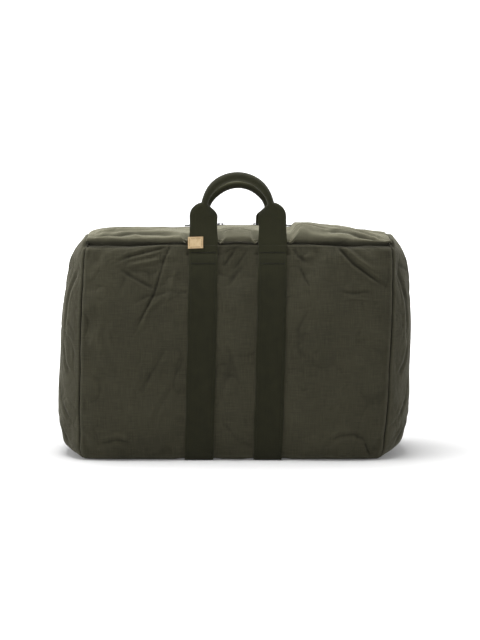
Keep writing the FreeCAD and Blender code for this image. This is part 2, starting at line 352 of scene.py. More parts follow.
# ---- creases, listed ---------------------------------------------------------
# Each is (points in millimetres on the panel, depth, half width). A negative depth stands proud.
FRONT_CREASES = [
    ([(-107, 336), (-112, 318), (-127, 262), (-150, 215), (-161, 190)], 2.0, 3.4),
    ([(-104, 336), (-109, 322), (-120, 300)], 1.9, 3.2),
    ([(-122, 266), (-136, 271), (-160, 284), (-186, 300)], 1.3, 5.0),
    ([(-106, 332), (-138, 324), (-170, 316), (-190, 306)], 1.6, 5.0),
    ([(-118, 312), (-150, 306), (-176, 300)], -1.2, 6.0),
    ([(-112, 258), (-136, 236), (-150, 200)], -1.0, 7.0),
    ([(-96, 300), (-104, 264), (-112, 236)], -0.9, 8.0),
    ([(-20, 322), (-4, 330), (8, 334)], 1.2, 4.0),
    ([(-22, 300), (-8, 322), (0, 334)], 1.5, 4.5),
    ([(-10, 292), (8, 316), (18, 333)], 1.1, 4.5),
    ([(-18, 268), (-2, 290), (14, 306)], 0.8, 6.0),
    ([(150, 334), (176, 306), (204, 286), (228, 270)], 2.4, 5.0),
    ([(158, 334), (186, 310), (214, 292)], -1.4, 6.0),
    ([(96, 300), (104, 282), (114, 266)], 1.6, 4.0),
    ([(84, 330), (94, 316), (112, 304)], 1.2, 5.0),
    ([(158, 262), (178, 260), (196, 262), (212, 258)], 1.2, 4.0),
    ([(166, 254), (190, 251), (208, 250)], -0.8, 4.5),
    ([(-104, 184), (-128, 140), (-160, 90)], 0.9, 8.0),
    ([(-96, 120), (-116, 84), (-130, 52)], 0.8, 8.0),
    ([(-200, 220), (-206, 190), (-196, 160)], 0.7, 8.0),
    ([(148, 30), (168, 40), (190, 42), (206, 34), (218, 20)], 1.3, 6.5),
    ([(208, 30), (214, 16), (220, 6)], 1.8, 4.5),
    ([(-210, 26), (-180, 34), (-150, 26)], 1.3, 7.0),
    ([(90, 180), (120, 150), (150, 140)], 0.7, 9.0),
    ([(-18, 190), (-4, 150), (10, 120)], 0.6, 8.0),
    ([(-16, 60), (0, 40), (14, 24)], 0.9, 7.0),
]
REAR_CREASES = FRONT_CREASES[:14] + FRONT_CREASES[17:20]      # mirrored on the rear, without the boldest
# Two layers of top cloth: (x, y) in millimetres, seen from above, on the front half.
TOP_CREASES = [
    ([(-228, -90), (-200, -84), (-160, -86), (-110, -92), (-90, -96)], 3.4, 5.0),
    ([(-226, -76), (-190, -70), (-150, -72), (-120, -80)], -2.6, 7.0),
    ([(-222, -60), (-170, -54), (-120, -60), (-84, -66)], 2.4, 6.0),
    ([(-200, -40), (-140, -34), (-96, -40)], 1.6, 6.0),
    ([(-84, -74), (-50, -70), (-10, -76), (26, -70)], 1.8, 5.0),
    ([(-26, -88), (4, -84), (28, -90)], 1.8, 4.0),
    ([(-24, -52), (0, -48), (26, -54)], 1.5, 6.0),
    ([(80, -84), (120, -78), (150, -84)], 2.2, 5.0),
    ([(84, -62), (130, -58), (176, -66), (200, -76)], 2.2, 5.5),
    ([(130, -90), (170, -82), (205, -84), (230, -92)], 3.6, 6.0),
    ([(150, -74), (190, -66), (226, -70)], -2.8, 7.0),
    ([(90, -36), (140, -32), (190, -40)], 1.8, 6.5),
]
# Where the crown stands higher or lower than its even line: (x, height, reach) in millimetres.
CROWN_LIFTS = [(94, 9.5, 24), (120, 1.5, 30), (216, -8, 34), (-140, -2.5, 40)]
# On the ends, (y, z) in millimetres.
END_CREASES = [
    ([(-92, 300), (-78, 240), (-82, 180)], 1.6, 7.0),
    ([(-60, 330), (-48, 280), (-58, 220)], 1.6, 8.0),
    ([(-96, 60), (-70, 90), (-50, 140)], 1.5, 7.0),
    ([(-88, 20), (-60, 50), (-20, 66)], 2.0, 7.0),
    ([(-98, 130), (-84, 150), (-76, 190)], 1.2, 6.0),
    ([(-10, 320), (6, 250), (-4, 190)], 1.2, 9.0),
    ([(40, 320), (56, 240), (44, 170)], 1.5, 8.0),
    ([(30, 40), (60, 70), (84, 120)], 1.6, 8.0),
]
crease_strength, crease_width = 1.75, 0.44      # shares of the depths and half widths in the lists
most_push = 4.6 * MM                            # no crease goes deeper or higher


def crease_depth(points, creases):
    """How far each 2D point is pushed in by a set of creases."""
    deep, proud = np.zeros(len(points)), np.zeros(len(points))
    for line, depth, width in creases:
        line, width = np.array(line, float) * MM, width * crease_width * MM
        lengths = np.linalg.norm(np.diff(line, axis=0), axis=1)
        done = np.concatenate([[0], np.cumsum(lengths)])
        nearest, along = np.full(len(points), 1e9), np.zeros(len(points))
        for i, (a, b) in enumerate(zip(line[:-1], line[1:])):
            t = np.clip(((points - a) @ (b - a)) / lengths[i] ** 2, 0, 1)
            gap = np.linalg.norm(points - (a + t[:, None] * (b - a)), axis=1)
            closer = gap < nearest
            nearest[closer] = gap[closer]
            along[closer] = (done[i] + t * lengths[i])[closer]
        share = along / done[-1]
        ends = smoothstep(share / 0.2) * smoothstep((1 - share) / 0.35) * 0.85 + 0.15
        groove = np.exp(-np.abs(nearest / width) ** 1.3)
        lips = np.exp(-((nearest - 2.3 * width) / width) ** 2)
        push = depth * MM * ends * (groove - 0.35 * lips) * crease_strength
        deep, proud = np.maximum(deep, push), np.minimum(proud, push)
    return deep + proud


def ripple(points, scale, seed):
    """Smooth noise from about -1 to 1, stretched by scale."""
    stretched = points * np.array(scale) + seed
    return np.array([noise.noise(Vector(p)) for p in stretched])


def crumpled(points, scale, seed):
    """Sharp short folds, 0 to 1, along the zero lines of one noise and broken up by another."""
    lines = np.exp(-np.abs(ripple(points, scale, seed)) / 0.055)
    return lines * smoothstep(0.5 + 1.6 * ripple(points, np.array(scale) * 0.8, seed + 50))


# ---- the cloth panels --------------------------------------------------------
# Depth and half width of the groove where two panels meet, and where the top meets the faces.
seam_groove = (3.4 * MM, 1.9 * MM)
top_groove = (6.5 * MM, 2.7 * MM)


def seam_grooves(points, quads, panels):
    """How far each point is drawn in at the seams, and its distance to the nearest seam."""
    faces_at = [set() for _ in points]
    for row, panel in zip(quads.tolist(), panels.tolist()):
        for i in row:
            faces_at[i].add(TOP_FRONT if panel in (TOP_REAR, WINDOW) else panel)
    push, gap, top_gap = np.zeros(len(points)), np.full(len(points), 1.0), np.full(len(points), 1.0)
    for wanted, (depth, width) in ((False, seam_groove), (True, top_groove)):
        seam = [i for i, met in enumerate(faces_at)
                if len(met) > 1 and (TOP_FRONT in met and (FRONT in met or REAR in met)) == wanted]
        tree = KDTree(len(seam))
        for i in seam:
            tree.insert(points[i], i)
        tree.balance()
        near = np.array([tree.find(p)[2] for p in points])
        low_share = 0.25 + 0.75 * smoothstep(points[:, 2] / (40 * MM))
        corners = smoothstep((np.abs(points[:, 0]) - 110 * MM) / (60 * MM)) if wanted else 0
        wide = width * (1 + 1.5 * corners)
        push = np.maximum(push, depth * (1 + 0.25 * corners) * np.exp(-(near / wide) ** 2) * low_share)
        gap = np.minimum(gap, near)
        top_gap = near if wanted else top_gap
    return push, gap, top_gap


free_from = 318 * MM            # the webbing hangs free of the cloth above this height
leg_gap, dent_edge = 0.6 * MM, 16 * MM


def settle(points, x, z, top, on_top):
    """Lifts the crown, keeps the cloth behind the free webbing, lets the base sag and leans the whole.

    x and z are the points' places before they were creased.
    """
    from_leg = beyond_strap(x) - 3 * MM
    lift = sum(height * np.exp(-((x / MM - place) / reach) ** 2) for place, height, reach in CROWN_LIFTS)
    points[:, 2] += lift * MM * top * smoothstep((z - seam_z) / (12 * MM)) * smoothstep(from_leg / (14 * MM))
    leg_rise = math.tan(math.radians(90 - joints["front_handle_lean_in"]["range_deg"][1]))
    leaning = lean_pivot.z + (np.abs(lean_pivot.y) - np.abs(points[:, 1])) * leg_rise - 2.2 * MM
    leaning += 14 * MM * smoothstep(from_leg / dent_edge)
    dented = on_top & (from_leg < dent_edge)
    points[dented, 2] = np.minimum(points[dented, 2], leaning[dented])
    behind = (beyond_strap(x) < 4 * MM) & (z > free_from)
    limit = leg_y - strap_t / 2 - leg_gap
    points[behind, 1] = np.clip(points[behind, 1], -limit, limit)
    sag = (body_low - 0.3 * MM) * smoothstep((beyond_strap(x) - 2 * MM) / (16 * MM))
    points[:, 2] = np.maximum(points[:, 2] - sag * np.exp(-points[:, 2] / (12 * MM)), body_low - sag)
    points[:, 0] += sway_at(points[:, 0], points[:, 2])


def shaped_body():
    """The body's fine mesh: simulated, subdivided, creased and leaning."""
    points, quads, panels = body_lattice()
    points = simulated(points, quads, panels)
    coarse, coarse_quads, coarse_panels = points.copy(), quads, panels
    piece = new_object("body", points, quads, panels)
    creased = piece.data.attributes.new("crease_edge", "FLOAT", "EDGE")
    seams = seam_share(points, quads, np.where(panels == WINDOW, TOP_FRONT, panels))
    ends = np.array([edge.vertices for edge in piece.data.edges])
    creased.data.foreach_set("value", 0.45 * seams[ends[:, 0]] * seams[ends[:, 1]])
    piece.modifiers.new("smooth", "SUBSURF").levels = 2
    mesh = applied(piece)
    points, normals = coordinates(mesh), normals_of(mesh)
    quads = np.array([face.vertices for face in mesh.polygons])
    panels = np.array([face.material_index for face in mesh.polygons])
    grooves, gap, top_gap = seam_grooves(points, quads, panels)
    on = np.zeros((WINDOW + 1, len(points)), bool)
    for panel in range(WINDOW + 1):
        on[panel, quads[panels == panel].ravel()] = True
    away = smoothstep(gap / (14 * MM))
    free = np.where(under_strap(points, 2 * MM), 0, 1)
    x, y, z = points.T
    on_faces, on_top, end = on[FRONT] | on[REAR], on[TOP_FRONT] | on[TOP_REAR], on[LEFT] | on[RIGHT]
    front, rear = on[FRONT] * free, on[REAR] * free
    top = on_top * free * smoothstep((np.abs(y) - window_half) / (16 * MM))
    past_strap = beyond_strap(x)
    beside = np.exp(-np.clip(past_strap, 0, 1) / (14 * MM)) * (past_strap > -4 * MM)
    pucker = np.exp(-gap / (16 * MM)) * away
    push = front * crease_depth(points[:, [0, 2]], FRONT_CREASES) * (0.35 + 0.65 * away)
    push += rear * crease_depth(points[:, [0, 2]] * [-1, 1], REAR_CREASES) * away
    push += top * crease_depth(np.stack([x * -np.sign(y), -np.abs(y)], 1), TOP_CREASES) * away * 0.7
    push += end * away * 0.8 * crease_depth(points[:, [1, 2]], END_CREASES)
    for share, depth, relief, scale, seed in (
            (top * away, 0.5, ripple, (16, 34, 30), 3.0),
            (front + rear, 0.9, ripple, (26, 10, 20), 8.0),
            (end * away, 1.5, ripple, (14, 24, 7), 15.0),
            ((front + rear + end) * away, 1.7, crumpled, (22, 22, 15), 70.0),
            ((front + rear + end + top) * away, 1.1, crumpled, (48, 48, 36), 90.0),
            ((front + rear) * pucker, 1.2, ripple, (85, 85, 60), 21.0),
            (on_faces * beside, 0.7, ripple, (20, 20, 70), 30.0)):
        push += share * depth * MM * relief(points, scale, seed)
    push = grooves + most_push * np.tanh(push / most_push)
    overhang = on_top * free * np.exp(-((top_gap - 7.5 * MM) / (4 * MM)) ** 2)
    push -= overhang * (2.6 + 1.2 * ripple(points, (30, 0, 0), 40.0)) * MM
    points = points - normals * push[:, None]
    settle(points, x, z, top, on_top)
    bpy.data.meshes.remove(mesh)
    coarse[:, 0] += sway_at(coarse[:, 0], coarse[:, 2])
    return points, quads, panels, gap, push, (coarse, coarse_quads, coarse_panels)


def cut_out(quads, chosen):
    """The points that the chosen quads use, and those quads renumbered."""
    rows = quads[chosen]
    used, index = np.unique(rows, return_inverse=True)
    return used, index.reshape(rows.shape)


def border_of(quads):
    """Directed border edges of a set of quads."""
    edges = np.vstack([quads[:, [i, (i + 1) % 4]] for i in range(4)])
    present = set(map(tuple, edges.tolist()))
    return [edge for edge in present if (edge[1], edge[0]) not in present]


def smooth_object(name, points, faces):
    piece = new_object(name, points, faces)
    piece.data.shade_smooth()
    return piece


def thickened(name, points, normals, quads, thickness):
    """A closed piece: the surface, a copy under it, and a rim."""
    count = len(points)
    rim = [(b, a, a + count, b + count) for a, b in border_of(quads)]
    faces = quads.tolist() + (quads[:, ::-1] + count).tolist() + rim
    return smooth_object(name, np.vstack([points, points - normals * thickness]), faces)


def body_normals(points, quads):
    mesh = bpy.data.meshes.new("measured")
    mesh.from_pydata(points.tolist(), [], quads.tolist())
    normals = normals_of(mesh)
    bpy.data.meshes.remove(mesh)
    return normals


# ---- materials ---------------------------------------------------------------
class Graph:
    """A node material being built."""

    def __init__(self, name, **shader_values):
        self.material = bpy.data.materials.new(name)
        self.material.use_nodes = True
        self.tree = self.material.node_tree
        self.shader = self.tree.nodes["Principled BSDF"]
        self.put(self.shader, shader_values)

    def put(self, node, values):
        for key, value in values.items():
            socket = node.inputs[key.replace("_", " ") if isinstance(key, str) else key]
            if isinstance(value, bpy.types.NodeSocket):
                self.tree.links.new(value, socket)
            else:
                socket.default_value = value

    def add(self, kind, values=None, output=0, **settings):
        node = self.tree.nodes.new("ShaderNode" + kind)
        for key, value in settings.items():
            setattr(node, key, value)
        self.put(node, values or {})
        return node.outputs[output]

    def place(self):
        return self.add("TexCoord", output=3)

    def split(self, vector):
        node = self.tree.nodes.new("ShaderNodeSeparateXYZ")
        self.put(node, {0: vector})
        return node.outputs

    def math(self, operation, a, b=0.0):
        return self.add("Math", {0: a, 1: b}, operation=operation)

    def ramp(self, value, low, high, to_low=0.0, to_high=1.0):
        return self.add("MapRange", {"Value": value, "From Min": low, "From Max": high,
                                     "To Min": to_low, "To Max": to_high})

    def noise(self, vector, scale, detail=2.0, roughness=0.5):
        return self.add("TexNoise", {"Vector": vector, "Scale": scale, "Detail": detail,
                                     "Roughness": roughness})

    def stretch(self, vector, scale):
        return self.add("VectorMath", {0: vector, 1: scale}, operation="MULTIPLY")

    def mix(self, share, a, b, blend="MIX"):
        node = self.tree.nodes.new("ShaderNodeMix")
        node.data_type, node.blend_type = "RGBA", blend
        self.put(node, {0: share, 6: a, 7: b})
        return node.outputs[2]

    def bump(self, height, distance, strength=1.0, under=None):
        values = {"Height": height, "Distance": distance, "Strength": strength}
        if under is not None:
            values["Normal"] = under
        return self.add("Bump", values)

    def attribute(self, name, output="Fac"):
        node = self.tree.nodes.new("ShaderNodeAttribute")
        node.attribute_name = name
        return node.outputs[output]


def colour(r, g, b):
    return (r, g, b, 1.0)


def shade(base, share):
    """The base colour, lighter or darker."""
    return colour(*(c * share for c in base))


def threads(g, place, pitch):
    """Height of evenly spaced threads."""
    return g.math("SINE", g.math("MULTIPLY", place, 2 * math.pi / pitch))


def cloth_material(name, plane, base, worn, sheen=0.13):
    """Matte plain-weave cloth with slubs, uneven dye and a soft sheen. Painted shade darkens its creases and
    seam grooves, and painted highlights lighten its proud folds. The worn colour marks wear and also paints
    the top of the body lighter. plane names its axes.
    """
    g = Graph(name, Roughness=0.9, Specular_IOR_Level=0.12, Sheen_Weight=sheen, Sheen_Roughness=0.45,
              Sheen_Tint=colour(0.80, 0.77, 0.60))
    place = g.place()
    along, across = [g.split(place)[axis] for axis in plane]
    flat = g.add("CombineXYZ", {0: along, 1: across, 2: 0.0})
    slub_along = g.noise(g.stretch(flat, (40, 900, 1)), 1.0, 1.0)
    slub_across = g.noise(g.stretch(flat, (900, 40, 1)), 1.0, 1.0)
    slubs = g.math("ADD", slub_along, slub_across)
    cloudy = g.noise(place, 9.0, 3.0)
    blotch = g.noise(place, 38.0, 4.0, 0.6)
    tone = g.mix(g.ramp(cloudy, 0.3, 0.7), shade(base, 0.86), shade(base, 1.14))
    tone = g.mix(g.ramp(blotch, 0.35, 0.75, 0.0, 0.35), tone, shade(base, 1.22))
    tone = g.mix(g.ramp(slubs, 1.0, 1.3, 0.0, 0.42), tone, shade(base, 1.7))
    tone = g.mix(g.ramp(slubs, 0.95, 0.7, 0.0, 0.32), tone, shade(base, 0.5))
    painted_crease_light = g.attribute("painted_crease_light")
    # painted shade: the deeper the cloth is pushed in at a crease or seam groove, the darker
    tone = g.mix(g.ramp(painted_crease_light, 0.2, 1.2, 0.0, 0.85), tone, shade(base, 0.25))
    # painted highlight: proud folds and the top's overhanging edge are lighter
    tone = g.mix(g.ramp(painted_crease_light, -0.08, -0.5, 0.0, 0.4), tone, shade(base, 1.7))
    # blends towards the worn colour by a point attribute that holds wear and, on the body's top, painted
    # light
    rubbed = g.math("MULTIPLY", g.attribute("wear_and_painted_light"), g.ramp(blotch, 0.25, 0.7, 0.55, 1.0))
    tone = g.mix(rubbed, tone, colour(*worn))
    plain_weave = g.math("MULTIPLY", threads(g, along, 1.1 * MM), threads(g, across, 1.1 * MM))
    fine = g.bump(plain_weave, 0.12 * MM, 0.5)
    woven = g.bump(slubs, 0.35 * MM, 0.45, fine)
    drift = g.stretch(g.add("TexNoise", {"Vector": place, "Scale": 14.0}, 1), (0.05, 0.05, 0.05))
    bent = g.add("VectorMath", {0: place, 1: drift}, operation="ADD")
    folds = g.math("ABSOLUTE", g.math("SUBTRACT", g.noise(bent, 26.0, 2.0), 0.5))
    crumple = g.math("MINIMUM", g.math("MULTIPLY", folds, 7.0), 1.0)
    g.put(g.shader, {"Base Color": tone, "Normal": g.bump(crumple, 1.1 * MM, 0.6, woven),
                     "Roughness": g.ramp(blotch, 0.3, 0.8, 0.82, 0.95)})
    return g.material


def webbing_material(name, base, rib=1.6 * MM, sheen=0.11):
    """Ribbed webbing. Its mesh carries (across, along) in metres in the attribute weave."""
    g = Graph(name, Roughness=0.9, Specular_IOR_Level=0.1, Sheen_Weight=sheen, Sheen_Roughness=0.5)
    across, along = g.split(g.attribute("weave", "Vector"))[:2]
    ribs = threads(g, across, rib)
    height = g.math("ADD", ribs, g.math("MULTIPLY", threads(g, along, 0.9 * MM), 0.4))
    flat = g.add("CombineXYZ", {0: across, 1: along, 2: 0.0})
    streak = g.noise(g.stretch(flat, (700, 18, 1)), 1.0, 2.0)
    cloudy = g.noise(flat, 60.0, 3.0)
    tone = g.mix(g.ramp(cloudy, 0.3, 0.7), shade(base, 0.86), shade(base, 1.16))
    tone = g.mix(g.ramp(streak, 0.35, 0.75, 0.0, 0.5), tone, shade(base, 1.4))
    # painted shade in the hollows between the ribs
    tone = g.mix(g.ramp(ribs, -1.0, 0.2, 0.45, 0.0), tone, shade(base, 0.5))
    fuzz = g.noise(flat, 1400.0, 2.0)
    # blends towards a pale colour by a point attribute: wear, and on the grips a painted highlight where they
    # face up
    tone = g.mix(g.attribute("wear_and_painted_light"), tone, colour(*(c * 6.0 + 0.02 for c in base)))
    g.put(g.shader, {"Base Color": tone,
                     "Normal": g.bump(height, 0.3 * MM, 0.7, g.bump(fuzz, 0.1 * MM, 0.4))})
    return g.material


def leather_material():
    g = Graph("natural_leather", Roughness=0.55, Specular_IOR_Level=0.35)
    place = g.place()
    patches = g.noise(place, 170.0, 4.0, 0.6)
    pores = g.noise(place, 1900.0, 2.0)
    tone = g.mix(g.ramp(patches, 0.3, 0.75), colour(0.60, 0.465, 0.275), colour(0.49, 0.35, 0.18))
    tone = g.mix(g.ramp(pores, 0.52, 0.7, 0.0, 0.5), tone, colour(0.40, 0.25, 0.12))
    tone = g.mix(g.attribute("wear_and_painted_light"), tone, colour(0.33, 0.19, 0.09))
    g.put(g.shader, {"Base Color": tone, "Roughness": g.ramp(patches, 0.3, 0.7, 0.45, 0.65),
                     "Normal": g.bump(pores, 0.2 * MM, 0.5)})
    return g.material


def thread_material(name, base):
    g = Graph(name, Roughness=0.7, Specular_IOR_Level=0.2)
    place = g.place()
    twist = g.noise(place, 2600.0, 1.0)
    tone = g.mix(g.ramp(twist, 0.35, 0.65), shade(base, 0.75), shade(base, 1.3))
    g.put(g.shader, {"Base Color": tone, "Normal": g.bump(twist, 0.15 * MM, 0.6)})
    return g.material


def metal_material():
    """Dark gunmetal, rubbed brighter in patches."""
    g = Graph("gunmetal", Metallic=1.0)
    place = g.place()
    worn = g.noise(place, 420.0, 4.0, 0.65)
    scratch = g.noise(g.stretch(place, (300, 3000, 900)), 1.0, 2.0)
    tone = g.mix(g.ramp(worn, 0.45, 0.7), colour(0.035, 0.034, 0.032), colour(0.11, 0.106, 0.10))
    g.put(g.shader, {"Base Color": tone, "Roughness": g.ramp(scratch, 0.3, 0.7, 0.3, 0.5),
                     "Normal": g.bump(scratch, 0.05 * MM, 0.3)})
    return g.material


def plastic_material(name, base, grain=900.0):
    g = Graph(name, Specular_IOR_Level=0.4)
    place = g.place()
    speck = g.noise(place, grain, 3.0)
    tone = g.mix(g.ramp(speck, 0.35, 0.7), shade(base, 0.8), shade(base, 1.25))
    g.put(g.shader, {"Base Color": tone, "Roughness": g.ramp(speck, 0.3, 0.7, 0.42, 0.62),
                     "Normal": g.bump(speck, 0.1 * MM, 0.4)})
    return g.material


# OLIVE_WORN_AND_LIT is the worn colour, and it also paints the top of the body lighter, a painted highlight
# of the overhead light
OLIVE, OLIVE_WORN_AND_LIT = (0.0325, 0.0305, 0.0190), (0.140, 0.136, 0.098)
WEB = (0.0155, 0.0155, 0.0066)
FACE_CLOTH = cloth_material("olive_cloth_face", (0, 2), OLIVE, OLIVE_WORN_AND_LIT)
END_CLOTH = cloth_material("olive_cloth_end", (1, 2), OLIVE, OLIVE_WORN_AND_LIT)
# the top cloth is the same olive made 1.6 times lighter and given more sheen: a painted highlight of the
# overhead light
TOP_CLOTH = cloth_material("olive_cloth_top", (0, 1), tuple(c * 1.6 for c in OLIVE), OLIVE_WORN_AND_LIT, 0.4)
# the base is the same olive made a little darker: painted shade on the underside
BASE_CLOTH = cloth_material("olive_cloth_base", (0, 1), tuple(c * 0.9 for c in OLIVE), OLIVE_WORN_AND_LIT)
LINING_CLOTH = cloth_material("lining_cloth", (0, 2), (0.135, 0.125, 0.095), (0.2, 0.19, 0.15), 0.1)
WEBBING = webbing_material("olive_webbing", WEB)
ZIP_TAPE = webbing_material("zip_tape_weave", (0.030, 0.028, 0.018), 1.0 * MM)
LEATHER = leather_material()
THREAD = thread_material("olive_thread", (0.027, 0.026, 0.016))
WEB_THREAD = thread_material("dark_olive_thread", (0.016, 0.016, 0.009))
TAN_THREAD = thread_material("tan_thread", (0.20, 0.115, 0.05))
METAL = metal_material()
COIL = plastic_material("zip_coil", (0.020, 0.019, 0.014))
BOARD = plastic_material("base_board_sheet", (0.022, 0.022, 0.021), 500.0)


def coat(piece, material):
    """Gives a piece one material."""
    piece.data.materials.clear()
    piece.data.materials.append(material)
    piece.data.polygons.foreach_set("material_index", np.zeros(len(piece.data.polygons), np.int32))


def dress(piece, material):
    """Gives a piece its one material."""
    coat(piece, material)
    return piece


def set_attribute(piece, name, values):
    """Stores a number or a vector for each point. A single number goes to every point."""
    values = np.asarray(values, np.float32)
    if values.ndim == 0:
        values = np.full(len(piece.data.vertices), values)
    kind = "FLOAT" if values.ndim == 1 else "FLOAT_VECTOR"
    attribute = piece.data.attributes.new(name, kind, "POINT")
    attribute.data.foreach_set("value" if values.ndim == 1 else "vector", values.ravel())


def blend_top(piece):
    """Bakes a top piece's transform into its mesh."""
    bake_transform(piece)
    x, y, z = coordinates(piece.data).T


PANEL_PIECES = [
    (FRONT, "front_cloth", "front_panel", FACE_CLOTH), (REAR, "rear_cloth", "rear_panel", FACE_CLOTH),
    (BASE, "base_cloth", "bottom_panel", BASE_CLOTH), (LEFT, "left_end_cloth", "left_end_panel", END_CLOTH),
    (RIGHT, "right_end_cloth", "right_end_panel", END_CLOTH),
    (TOP_FRONT, "top_front_cloth", "top_front_panel", TOP_CLOTH),
    (TOP_REAR, "top_rear_cloth", "top_rear_panel", TOP_CLOTH),
]


def cloth_pieces(points, quads, panels, gap, push):
    normals = body_normals(points, quads)
    # a lighter band beside each seam, and a painted lighter top: the cloth above the top seams, lit from
    # above, gets over half the worn colour, partly wear
    ridge = np.exp(-((gap - 4.5 * MM) / (2 * MM)) ** 2) * 0.13
    high = smoothstep((points[:, 2] - seam_z) / (16 * MM)) * 0.55
    wear_and_painted_light = np.clip(ridge + high, 0, 1)
    # how far the cloth is pushed in, which drives the painted shade in creases and grooves and the painted
    # highlights on proud folds
    painted_crease_light = np.clip(push / (3.2 * MM), -1, 1.5)
    for panel, name, node, material in PANEL_PIECES:
        used, rows = cut_out(quads, panels == panel)
        piece = thickened(name, points[used], normals[used], rows, cloth_t)
        set_attribute(piece, "wear_and_painted_light", np.tile(wear_and_painted_light[used], 2))
        set_attribute(piece, "painted_crease_light", np.tile(painted_crease_light[used], 2))
        dress(piece, material)
        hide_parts(node)
        if panel in (TOP_FRONT, TOP_REAR):
            blend_top(piece)
        else:
            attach(piece, "shell")


body_points, body_quads, body_panels, body_gap, body_push, body_coarse = shaped_body()
cloth_pieces(body_points, body_quads, body_panels, body_gap, body_push)
body_tree = BVHTree.FromPolygons(body_points.tolist(), body_quads.tolist())


def on_body(points, direction):
    """Where rays from the points first meet the cloth, and the cloth's outward normals there."""
    hits, normals = [], []
    for point in points:
        hit, normal, _, _ = body_tree.ray_cast(Vector(point), Vector(direction))
        if hit is not None:
            hits.append(hit)
            normals.append(normal if normal.dot(Vector(direction)) < 0 else -normal)
    return np.array(hits), np.array(normals)


# ---- lining, pocket and board ------------------------------------------------
lining_gap = 9.5 * MM           # from the outer cloth surface to the lining
lining_t, pocket_t = 0.8 * MM, 1.2 * MM
lining_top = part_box("lining")[1].z
pocket_low, pocket_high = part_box("inner_pocket")


def inner_layer(name, material, node, chosen, gap_in, thickness):
    """A layer inside the body: the lattice's chosen quads, moved in by a gap."""
    points, quads, panels = body_coarse
    normals = body_normals(points, quads)
    middle = points[quads].mean(1)
    used, rows = cut_out(quads, chosen(middle, panels))
    piece = thickened(name, points[used] - normals[used] * gap_in, normals[used], rows, thickness)
    set_attribute(piece, "wear_and_painted_light", 0.0)
    set_attribute(piece, "weave", coordinates(piece.data)[:, [2, 0, 1]])
    dress(piece, material)
    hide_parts(node)
    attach(piece, "shell")


def lined(middle, panels):
    return (panels <= RIGHT) & (middle[:, 2] < lining_top)


def pocketed(middle, panels):
    inside = (np.abs(middle[:, 0]) < pocket_high.x) & (middle[:, 2] > pocket_low.z)
    return (panels == REAR) & inside & (middle[:, 2] < pocket_high.z)


def bound(middle, panels):
    return pocketed(middle, panels) & (middle[:, 2] > pocket_high.z - 12 * MM)


inner_layer("lining_cloth_layer", LINING_CLOTH, "lining", lined, lining_gap, lining_t)
inner_layer("slip_pocket", LINING_CLOTH, "inner_pocket", pocketed, lining_gap + lining_t + 0.3 * MM,
            pocket_t)
inner_layer("slip_pocket_binding", WEBBING, "inner_pocket_binding", bound,
            lining_gap + lining_t + pocket_t + 0.5 * MM, pocket_t)


def finish_node(node, material, bevel):
    """A CAD piece that keeps its shape: rounded edges and a better material."""
    piece = frame["nodes"][node]
    coat(piece, material)
    rounded = piece.modifiers.new("rounded", "BEVEL")
    rounded.width, rounded.segments = bevel, 2
    rounded.limit_method, rounded.angle_limit = "ANGLE", math.radians(35)


finish_node("base_board", BOARD, 0.5 * MM)
for side in SIDES.values():
    finish_node(f"zip_slider_{side}", METAL, 0.35 * MM)
    finish_node(f"zip_puller_{side}", METAL, 0.25 * MM)


# ---- webbing -----------------------------------------------------------------
def tube_faces(rings, sides, first=0):
    """Faces of a tube of point rings, with a cap at each end."""
    faces = []
    for start in range(first, first + (rings - 1) * sides, sides):
        for j in range(sides):
            k = (j + 1) % sides
            faces.append((start + j, start + k, start + sides + k, start + sides + j))
    last = first + (rings - 1) * sides
    return faces + [tuple(range(first, first + sides))[::-1], tuple(range(last, last + sides))]


def swept(name, centres, across, outward, half_w, half_t, square=0.0, count=28):
    """A closed bar swept along centres. Its section runs from a box (square 0) to an ellipse (square 1).

    across and outward are one direction or one at each centre, and so are the sizes.
    """
    n = len(centres)
    across, outward = [np.broadcast_to(np.asarray(way, float), (n, 3)) for way in (across, outward)]
    half_w, half_t, square = [np.broadcast_to(size, n) for size in (half_w, half_t, square)]
    rounds = np.linspace(0, 2 * math.pi, count, endpoint=False) + math.pi / count
    rings, weaves = [], []
    along = np.concatenate([[0], np.cumsum(np.linalg.norm(np.diff(centres, axis=0), axis=1))])
    for i, centre in enumerate(centres):
        power = 0.16 + 0.84 * square[i]
        u = np.sign(np.cos(rounds)) * np.abs(np.cos(rounds)) ** power
        v = np.sign(np.sin(rounds)) * np.abs(np.sin(rounds)) ** power
        rings.append(centre + np.outer(u * half_w[i], across[i]) + np.outer(v * half_t[i], outward[i]))
        girth = u * half_w[i] * (1 - square[i]) + square[i] * (rounds / math.pi - 1) * strap_w / 2
        weaves.append(np.stack([girth, np.full(count, along[i]), v], 1))
    piece = smooth_object(name, np.vstack(rings), tube_faces(n, count))
    set_attribute(piece, "weave", np.vstack(weaves))
    return piece


def strap_line(z):
    """Outer cloth surface's half depth where a strap lies on it, easing out to the free webbing."""
    lying = depth_at(z) + 0.15 * MM + strap_t / 2
    return lying + (leg_y - lying) * smoothstep((z - 312 * MM) / (14 * MM))


strap_turn = 3.9 * MM           # the strap's bend round the base seam
under_end = 96 * MM             # where the upright straps meet the base straps
sewn_top = 333.5 * MM           # where the sewn webbing ends and the handle's leg begins


